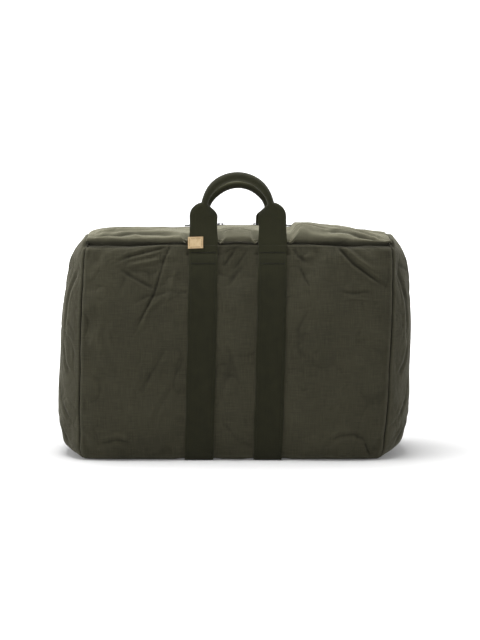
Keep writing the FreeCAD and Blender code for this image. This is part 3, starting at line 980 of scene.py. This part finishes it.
def sewn_strap(side_x, side_y):
    """Webbing sewn up the face, from under the base to the fold above the bar tacks."""
    bend = np.linspace(0, math.pi / 2, 8)[1:-1]
    rise = np.concatenate([np.linspace(5, 300, 60), np.linspace(304, sewn_top / MM, 24)]) * MM
    edge_y, edge_z = strap_line(rise[0]), strap_t / 2
    corner_y, corner_z = edge_y - strap_turn, edge_z + strap_turn
    ys = np.concatenate([np.linspace(under_end, corner_y, 4), corner_y + strap_turn * np.sin(bend),
                         strap_line(rise)])
    zs = np.concatenate([np.full(4, edge_z), corner_z - strap_turn * np.cos(bend), rise])
    slope = unit(np.gradient(np.stack([ys, zs], 1), axis=0))
    centres = np.stack([side_x * strap_x + lean_at(zs), side_y * ys, zs], 1)
    outward = np.stack([np.zeros(len(zs)), side_y * slope[:, 1], -slope[:, 0]], 1)
    wide = strap_w / 2 - 0.35 * MM * (1 + np.sin(zs * 60 + side_x * 2 + side_y))
    return swept(f"strap_{FACES[side_y]}_{SIDES[side_x]}", centres, (1, 0, 0), outward, wide, strap_t / 2)


def base_strap(side_x):
    ys = np.linspace(-under_end, under_end, 40)
    centres = np.stack([np.full(len(ys), side_x * strap_x - lean), ys, np.full(len(ys), strap_t / 2)], 1)
    return swept(f"base_strap_{SIDES[side_x]}", centres, (1, 0, 0), (0, 0, -1), strap_w / 2 - 0.3 * MM,
                 strap_t / 2)


# Heights on the handle: where its sway starts, where it thickens, turns round and narrows, and its neck.
sway_z, thick_z, round_z, shoulder_low, neck_z = 345 * MM, 372 * MM, 376 * MM, 377.5 * MM, 398 * MM
neck_half, neck_thick = 5.4 * MM, 4.8 * MM
arch_z = core_low.z


def handle(side_y, drop, leg_shift, arch_shift):
    """The free webbing of one pair of straps and the rolled grip between them, as one loop of webbing."""
    roll = arch_top - core_high.z + (core_high.y - core_low.y) / 2
    radius = arch_top - roll - arch_z
    legs = np.concatenate([np.linspace(sewn_top, sway_z, 12), np.linspace(349 * MM, round_z, 9),
                           np.linspace(378 * MM, neck_z, 19)])
    turn = np.linspace(0, math.pi, 61)[1:-1]
    low_turn = math.asin((neck_z - arch_z) / radius)
    turn = low_turn + (math.pi - 2 * low_turn) * turn / math.pi
    rise = np.clip((legs - shoulder_low) / (neck_z - shoulder_low), 0, 1)
    neck_x = radius * math.cos(low_turn)
    leg_w = strap_w / 2 - 1.3 * MM * smoothstep((legs - seam_z) / (20 * MM))
    outer = strap_x + leg_w + (neck_x + neck_half - strap_x - leg_w) * rise ** 2.5
    inner = strap_x - leg_w + (neck_x - neck_half - strap_x + leg_w) * rise ** 2.4
    x_leg, leg_half = (outer + inner) / 2, (outer - inner) / 2
    xs = np.concatenate([-x_leg, -radius * np.cos(turn), x_leg[::-1]])
    zs = np.concatenate([legs, arch_z + radius * np.sin(turn), legs[::-1]])
    n = len(xs)
    tangent = unit(np.gradient(np.stack([xs, zs], 1), axis=0))
    on_arch = np.zeros(n)
    share = (turn - turn[0]) / (turn[-1] - turn[0])
    on_arch[len(legs):-len(legs)] = smoothstep(np.sin(share * math.pi) / 0.75)
    wide = np.concatenate([leg_half, np.full(len(turn), neck_half), leg_half[::-1]])
    wide = wide + (roll - neck_half) * on_arch
    thick = strap_t / 2 + (neck_thick - strap_t / 2) * smoothstep((zs - thick_z) / (neck_z - thick_z))
    thick = thick + (roll - neck_thick) * on_arch
    square = smoothstep((zs - round_z) / (neck_z - round_z))
    height = smoothstep((zs - sway_z) / (arch_top - sway_z))
    shift = arch_shift * height + leg_shift * smoothstep((zs - 335 * MM) / (25 * MM)) * (1 - height)
    centres = np.stack([xs + shift, np.full(n, side_y * leg_y), zs - drop * height], 1)
    across = np.stack([tangent[:, 1], np.zeros(n), -tangent[:, 0]], 1)
    piece = swept(f"{FACES[side_y]}_handle_loop", centres, across, (0, side_y, 0), wide, thick, square, 40)
    fold_in(piece, centres, across, side_y, on_arch)
    return piece


def fold_in(piece, centres, across, side_y, on_arch):
    """Presses the groove where the folded webbing's two edges meet, along the inside of the grip."""
    count = len(piece.data.vertices) // len(centres)
    points = coordinates(piece.data).reshape(len(centres), count, 3)
    for i, centre in enumerate(centres):
        spoke = points[i] - centre
        angle = np.arctan2(-side_y * spoke[:, 1], -(spoke @ across[i]))
        depth = 0.22 * on_arch[i] * np.exp(-((angle - 0.5) / 0.28) ** 2)
        points[i] = centre + spoke * (1 - depth)[:, None]
    piece.data.vertices.foreach_set("co", points.ravel())
    piece.data.update()


def blend_leg(piece):
    """Bakes the transform of a piece of the free webbing into its mesh."""
    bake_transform(piece)


for side_y, face in FACES.items():
    for side_x, side in SIDES.items():
        strap = sewn_strap(side_x, side_y)
        high = coordinates(strap.data)[:, 2] - 260 * MM
        # lighter towards the top of the sewn part
        set_attribute(strap, "wear_and_painted_light", 0.07 * smoothstep(high / (70 * MM)))
        dress(strap, WEBBING)
        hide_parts(f"{face}_webbing_{side}", f"{face}_strap_roots")
        blend_leg(strap)
    grip = handle(side_y, 0, 0, -1 * MM) if side_y < 0 else handle(side_y, 7.5 * MM, -3.3 * MM, 0)
    # painted highlight: the grips' upward faces, lit from above, blend towards the pale colour, the rear grip
    # more than the front
    upward = np.clip(normals_of(grip.data)[:, 2], 0, 1) ** 1.5
    raised = smoothstep((coordinates(grip.data)[:, 2] - shoulder_low) / (20 * MM))
    set_attribute(grip, "wear_and_painted_light", 0.07 + (0.25 if side_y < 0 else 0.65) * upward * raised)
    dress(grip, WEBBING)
    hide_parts(f"{face}_handle_webbing", f"{face}_handle_core")
    blend_leg(grip)
for side_x, side in SIDES.items():
    strap = base_strap(side_x)
    set_attribute(strap, "wear_and_painted_light", 0.2)
    dress(strap, WEBBING)
    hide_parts(f"base_webbing_{side}")
    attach(strap, "shell")

# ---- stitching ---------------------------------------------------------------
stitch_pitch, stitch_l = 3.8 * MM, 2.9 * MM
stitch_r, fine_r, tab_r = 0.34 * MM, 0.3 * MM, 0.38 * MM       # thread radii


def stitched(name, stitches, radius=stitch_r, sides=6):
    """One mesh of thread stitches. Each stitch is (start, end, the surface's normal)."""
    shares = np.array([0.0, 0.12, 0.5, 0.88, 1.0])
    girth = np.array([0.35, 0.85, 1.0, 0.85, 0.35])
    heights = np.array([-0.5, 0.15, 0.55, 0.15, -0.5])
    turns = np.linspace(0, 2 * math.pi, sides, endpoint=False)
    points, faces = [], []
    for start, end, normal in stitches:
        start, end, normal = np.array(start), np.array(end), np.array(normal)
        along = (end - start) / np.linalg.norm(end - start)
        side = np.cross(normal, along)
        first = len(points)
        for share, wide, high in zip(shares, girth, heights):
            middle = start + (end - start) * share + normal * radius * high
            for turn in turns:
                points.append(middle + radius * wide * (side * math.cos(turn) + normal * math.sin(turn)))
        faces += tube_faces(len(shares), sides, first)
    return smooth_object(name, points, faces)


def row_of_stitches(points, normals, pitch=stitch_pitch, length=stitch_l):
    """Stitches at an even pitch along a line of points."""
    done = np.concatenate([[0], np.cumsum(np.linalg.norm(np.diff(points, axis=0), axis=1))])

    def at(distance, values):
        return np.array([np.interp(distance, done, values[:, i]) for i in range(3)])

    rows = []
    for start in np.arange(0, done[-1] - length, pitch):
        normal = at(start, normals)
        rows.append((at(start, points), at(start + length, points), normal / np.linalg.norm(normal)))
    return rows


def stitches_on_body(x, y, z, direction):
    """Stitches on the cloth, where lines from the points first meet it. One of x, y, z may be a number."""
    return row_of_stitches(*on_body(np.stack(np.broadcast_arrays(x, y, z), 1), direction))


def face_stitches(side_y):
    """Top-stitching inside the end seams and below the top seam of one face."""
    inset, outside = 6.5 * MM, 200 * MM
    rows = []
    z = np.linspace(14, 326, 160) * MM
    for side_x in SIDES:
        x = side_x * (width_at(z) - inset)
        x += sway_at(x, z)
        rows += stitches_on_body(x, side_y * outside, z, (0, -side_y, 0))
    low, high = strap_x - strap_w / 2 - 4 * MM, strap_x + strap_w / 2 + 4 * MM
    edge = width_at(seam_z) - 9 * MM
    for start, end in ((-edge, -high), (-low, low), (high, edge)):
        x = np.linspace(start, end, 80)
        rows += stitches_on_body(x, side_y * outside, seam_z - 7 * MM, (0, -side_y, 0))
    return rows


def strap_stitches(side_y):
    """Two rows up each sewn strap, and the bar tacks."""
    rows = []
    z = np.linspace(8, 318, 120) * MM
    y = strap_line(z) + strap_t / 2
    normals = unit(np.stack([np.zeros_like(z), side_y * np.ones_like(z), -np.gradient(y, z)], 1))
    for side_x in SIDES:
        for inset in (-1, 1):
            x = side_x * strap_x + lean_at(z) + inset * (strap_w / 2 - 4.2 * MM)
            rows += row_of_stitches(np.stack([x, side_y * y, z], 1), normals)
    return rows


def bar_tacks(side_y):
    """Dense zigzag tacks across each strap at the top of its sewn part."""
    low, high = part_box("front_bar_tacks")
    stitches = []
    height = 2.6 * MM
    for side_x in SIDES:
        for z in (low.z, high.z - height):
            across = np.linspace(-1, 1, 58) * (strap_w / 2 - 3.5 * MM)
            for i, x in enumerate(across):
                rise = (0, height) if i % 2 else (height, 0)
                place = side_x * strap_x + x + lean_at(z)
                ends = [(place + step, side_y * (strap_line(z + h) + strap_t / 2 + 0.1 * MM), z + h)
                        for step, h in zip((0, 0.35 * MM), rise)]
                stitches.append((ends[0], ends[1], (0, side_y, 0)))
    return stitches


for side_y, face in FACES.items():
    seams = stitched(f"{face}_face_stitching", face_stitches(side_y), fine_r)
    rows = stitched(f"{face}_strap_stitching", strap_stitches(side_y))
    tacks = stitched(f"{face}_bar_tack_threads", bar_tacks(side_y), fine_r, 4)
    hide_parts(f"{face}_bar_tacks")
    for piece, thread in ((seams, THREAD), (rows, WEB_THREAD), (tacks, WEB_THREAD)):
        dress(piece, thread)
        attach(piece, "shell")

# ---- leather tab -------------------------------------------------------------
tab_low, tab_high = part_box("leather_tab")
tab_tilt, tab_t, tab_bend = math.radians(2.0), 1.5 * MM, 2.2 * MM


def tab_dip(u):
    """How far the tab's free side lies back, by distance from its middle."""
    return 0.35 * MM * smoothstep((u - 8 * MM) / (4 * MM))


def leather_tab():
    """A tab on the strap's face, folded round its outer edge, with worn edges and a stitched border."""
    left, right = tab_low.x, tab_high.x
    front, back = tab_low.y, -leg_y + strap_t / 2
    edge, t = -strap_x - strap_w / 2, tab_t
    outline = [(right, front + t), (right + 0.3 * MM, front + 0.8 * MM), (right - 0.3 * MM, front + 0.2 * MM)]
    outline += [(x, front) for x in np.linspace(right - 1.2 * MM, left + tab_bend, 12)]
    outline += [(left + tab_bend * (1 - math.sin(u)), front + tab_bend * (1 - math.cos(u)))
                for u in np.linspace(0.3, math.pi / 2, 5)]
    outline += [(left, back - 0.6 * MM), (left + 0.5 * MM, back), (edge - 0.1 * MM, back - 0.1 * MM)]
    outline += [(edge - 0.1 * MM, front + t + 0.4 * MM), (edge + 0.4 * MM, front + t)]
    outline += [(x, front + t) for x in np.linspace(edge + 2 * MM, right - 1.2 * MM, 10)]
    outline = np.array(outline)
    heights = np.concatenate([[0, 0.3, 0.9], np.linspace(2, 16, 13), [17.1, 17.7, 18.0]]) * MM
    centre = np.array([(left + right) / 2, (front + back) / 2])
    tall = heights[-1]
    points, wear_and_painted_light = [], []
    for height in heights:
        rim = min(height, tall - height)
        shrink = 1 - 0.035 * math.exp(-rim / (0.35 * MM))
        for x, y in outline:
            u = x - centre[0]
            thin_y = centre[1] + (y - centre[1]) * shrink - tab_dip(u) * (y < centre[1])
            points.append((centre[0] + u * (1 - 0.3 * (1 - shrink)), thin_y,
                           tab_low.z + height + u * math.tan(tab_tilt)))
            side_gap = min(x - left, right - x)
            wear_and_painted_light.append(0.75 * math.exp(-min(rim, max(side_gap, 0)) / (0.7 * MM)))
    piece = smooth_object("leather_strap_tab", points, tube_faces(len(heights), len(outline)))
    set_attribute(piece, "wear_and_painted_light", wear_and_painted_light)
    dress(piece, LEATHER)
    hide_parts("leather_tab")
    inset = 2.3 * MM
    x0, x1, z0, z1 = left + 2.6 * MM, right - inset, tab_low.z + inset, tab_low.z + tall - inset
    corners = [(x0, z0), (x1, z0), (x1, z1), (x0, z1), (x0, z0)]
    rows = []
    for (xa, za), (xb, zb) in zip(corners[:-1], corners[1:]):
        share = np.linspace(0, 1, 12)
        x, z = xa + (xb - xa) * share, za + (zb - za) * share
        z = z + (x - centre[0]) * math.tan(tab_tilt)
        y = front - tab_dip(x - centre[0])
        rows += row_of_stitches(np.stack([x, y, z], 1), np.tile([0, -1.0, 0], (12, 1)), 2.4 * MM, 1.8 * MM)
    border = stitched("leather_tab_stitching", rows, tab_r)
    dress(border, TAN_THREAD)
    for part in (piece, border):
        blend_leg(part)


leather_tab()

# ---- zip ---------------------------------------------------------------------
coil_pitch, coil_wire = 1.5 * MM, 0.4 * MM
teeth_middle_y = -(teeth_low.y + teeth_high.y) / 2
coil_half_y = (teeth_high.y - teeth_low.y) / 2 - coil_wire
coil_half_z = 0.9 * MM
tape_below, tape_t = 4.1 * MM, 0.7 * MM


def zip_tape(side_y):
    x = np.linspace(-tape_high.x, tape_high.x, 140)
    y = -side_y * (tape_low.y + tape_high.y) / 2
    centres = np.stack([x, np.full_like(x, y), zip_height(x) - tape_below], 1)
    piece = swept(f"zip_tape_{FACES[side_y]}_woven", centres, (0, 1, 0), (0, 0, -1),
                  (tape_high.y - tape_low.y) / 2, tape_t / 2, count=16)
    set_attribute(piece, "wear_and_painted_light", 0.0)
    return dress(piece, ZIP_TAPE)


def zip_coil(side_y):
    """The coil of one half: a fine wire helix along the zip."""
    per_turn, sides = 10, 5
    turns = int(2 * zip_half / coil_pitch)
    phase = np.arange(turns * per_turn) / per_turn
    x = -zip_half + phase * coil_pitch
    angle = 2 * math.pi * phase
    y = side_y * teeth_middle_y + coil_half_y * np.cos(angle)
    z = zip_height(x) - teeth_below - coil_wire - coil_half_z * (1 - np.sin(angle))
    centres = np.stack([x, y, z], 1)
    tangent = unit(np.gradient(centres, axis=0))
    side = unit(np.cross(tangent, [1.0, 0, 0]))
    up = np.cross(side, tangent)
    rings = [centres + coil_wire * (math.cos(u) * side + math.sin(u) * up)
             for u in np.linspace(0, 2 * math.pi, sides, endpoint=False)]
    points = np.stack(rings, 1).reshape(-1, 3)
    piece = smooth_object(f"zip_coil_{FACES[side_y]}", points, tube_faces(len(centres), sides))
    return dress(piece, COIL)


def window_stitches(side_y):
    """Stitching along the folded edge of the top cloth beside the teeth."""
    x, above = np.linspace(-212, 212, 200) * MM, 500 * MM
    return stitches_on_body(x, side_y * (window_half + 2.6 * MM), above, (0, 0, -1))


for side_y, face in FACES.items():
    tape, coil = zip_tape(side_y), zip_coil(side_y)
    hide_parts(f"zip_tape_{face}")
    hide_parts(f"zip_teeth_{face}")
    edge = stitched(f"top_{face}_stitching", window_stitches(side_y), fine_r)
    dress(edge, THREAD)
    for piece in (tape, coil, edge):
        blend_top(piece)


def end_tabs():
    """Cloth over each end of the zip."""
    normals = body_normals(body_points, body_quads)
    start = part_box("zip_end_tabs")[1].x - 16 * MM
    middle = body_points[body_quads].mean(1)
    used, rows = cut_out(body_quads, (body_panels == WINDOW) & (np.abs(middle[:, 0]) > start))
    piece = thickened("zip_end_cloth", body_points[used], normals[used], rows, cloth_t)
    # the zip's end cloth uses the lighter top cloth, a painted highlight, and goes a third of the way towards
    # the worn colour
    set_attribute(piece, "wear_and_painted_light", 0.3)
    dress(piece, TOP_CLOTH)
    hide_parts("zip_end_tabs")
    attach(piece, "shell")


def pull_tab(sign):
    """Folded webbing through the slot of the pull: two leaves, sewn together beyond the metal."""
    slope = crown_drop / crown_run
    cos, sin = math.cos(math.atan(slope)), math.sin(math.atan(slope))
    origin = (slider_rest, crown_z - (slider_rest - crown_flat) * slope)
    # (along, up) in millimetres from the slider's middle, along one leaf, through the slot and back.
    line = [(58, 0.95), (48, 0.9), (38, 0.95), (29, 0.9), (26, 0.7), (23, 0.45), (20.2, 0.5), (19.0, 1.0),
            (18.9, 1.65), (19.1, 2.3), (20.4, 2.85), (23, 2.9), (26, 2.65), (29, 2.2), (38, 2.15), (48, 2.1),
            (58, 2.15)]
    line = np.array(line) * MM
    fine = np.linspace(0, len(line) - 1, 90)
    curve = np.stack([smooth_curve(list(enumerate(line[:, i])), 1.0)(fine) for i in (0, 1)], 1)
    tangent = unit(np.gradient(curve, axis=0))

    def placed(flat, offset=(0, 0)):
        along, up = flat.T
        x, z = offset[0] + cos * along + sin * up, offset[1] + cos * up - sin * along
        return np.stack([sign * x, np.zeros(len(x)), z], 1)

    outward = placed(np.stack([tangent[:, 1], -tangent[:, 0]], 1))
    piece = swept(f"pull_webbing_{SIDES[sign]}", placed(curve, origin), (0, sign, 0), outward, 2.35 * MM,
                  0.55 * MM, 0.12, 16)
    set_attribute(piece, "wear_and_painted_light", 0.1)
    dress(piece, WEBBING)
    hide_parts(f"zip_pull_tab_{SIDES[sign]}")
    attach(piece, f"{SIDES[sign]}_pull")


end_tabs()
for sign in SIDES:
    pull_tab(sign)

# ---- studio: camera, light, floor --------------------------------------------
scene = bpy.context.scene
camera = bpy.data.objects.new("camera", bpy.data.cameras.new("camera"))
scene.collection.objects.link(camera)
camera.data.lens, camera.data.sensor_width = 84.0, 36.0
camera.location = (0.003, -2.41, 0.384)
camera.rotation_euler = (math.radians(90 - 4.12), 0, 0)
scene.camera = camera
scene.view_settings.view_transform = "Standard"


def area_light(name, place, aim, size, power):
    light = bpy.data.lights.new(name, "AREA")
    light.shape, light.size, light.size_y = "RECTANGLE", size[0], size[1]
    light.energy = power
    lamp = bpy.data.objects.new(name, light)
    lamp.location = place
    lamp.rotation_euler = (Vector(aim) - Vector(place)).to_track_quat("-Z", "Y").to_euler()
    scene.collection.objects.link(lamp)


area_light("softbox_top", (-0.2, 0.0, 2.3), (0, 0, 0.2), (1.6, 1.4), 90)
area_light("softbox_left", (-2.6, -0.6, 1.3), (0, 0, 0.2), (2.4, 2.2), 26)

world = bpy.data.worlds.new("studio")
scene.world = world
world.use_nodes = True
world.node_tree.nodes["Background"].inputs["Color"].default_value = (1, 1, 1, 1)
world.node_tree.nodes["Background"].inputs["Strength"].default_value = 0.40


def studio_floor():
    """A pale round floor that curves up into a backdrop all round. It glows, a painted light: dim near the
    bag and towards the front, full on the far side.
    """
    g = Graph("pale_floor", Roughness=0.9)
    place = g.place()
    grain = g.noise(place, 30.0, 2.0)
    behind = g.ramp(g.split(place)[1], -3.0, 1.7, 0.30, 1.0)
    distance = g.add("VectorMath", {0: place}, output=1, operation="LENGTH")
    # painted light: the floor and backdrop glow, weakly near the bag, more weakly towards the front, fully
    # behind
    glow = g.math("MULTIPLY", behind, g.ramp(distance, 0.6, 1.7, 0.12, 1.0))
    tone = g.mix(grain, colour(0.55, 0.55, 0.55), colour(0.57, 0.57, 0.57))
    g.put(g.shader, {"Base Color": tone, "Emission Color": colour(1, 1, 1), "Emission Strength": glow})
    flat, bend, sides = 4.0, 1.5, 64
    profile = [(0.001, 0.0), (0.5, 0.0), (1.5, 0.0), (flat, 0.0)]
    profile += [(flat + bend * math.sin(turn), bend * (1 - math.cos(turn)))
                for turn in np.linspace(0, math.pi / 2, 12)[1:]]
    profile += [(flat + bend, 4.0)]
    around = np.linspace(0, 2 * math.pi, sides, endpoint=False)
    points = [(r * math.cos(u), r * math.sin(u), z) for r, z in profile for u in around]
    walls = tube_faces(len(profile), sides)[:-2]
    floor = smooth_object("studio_floor", points, [face[::-1] for face in walls])
    floor.data.materials.append(g.material)


studio_floor()
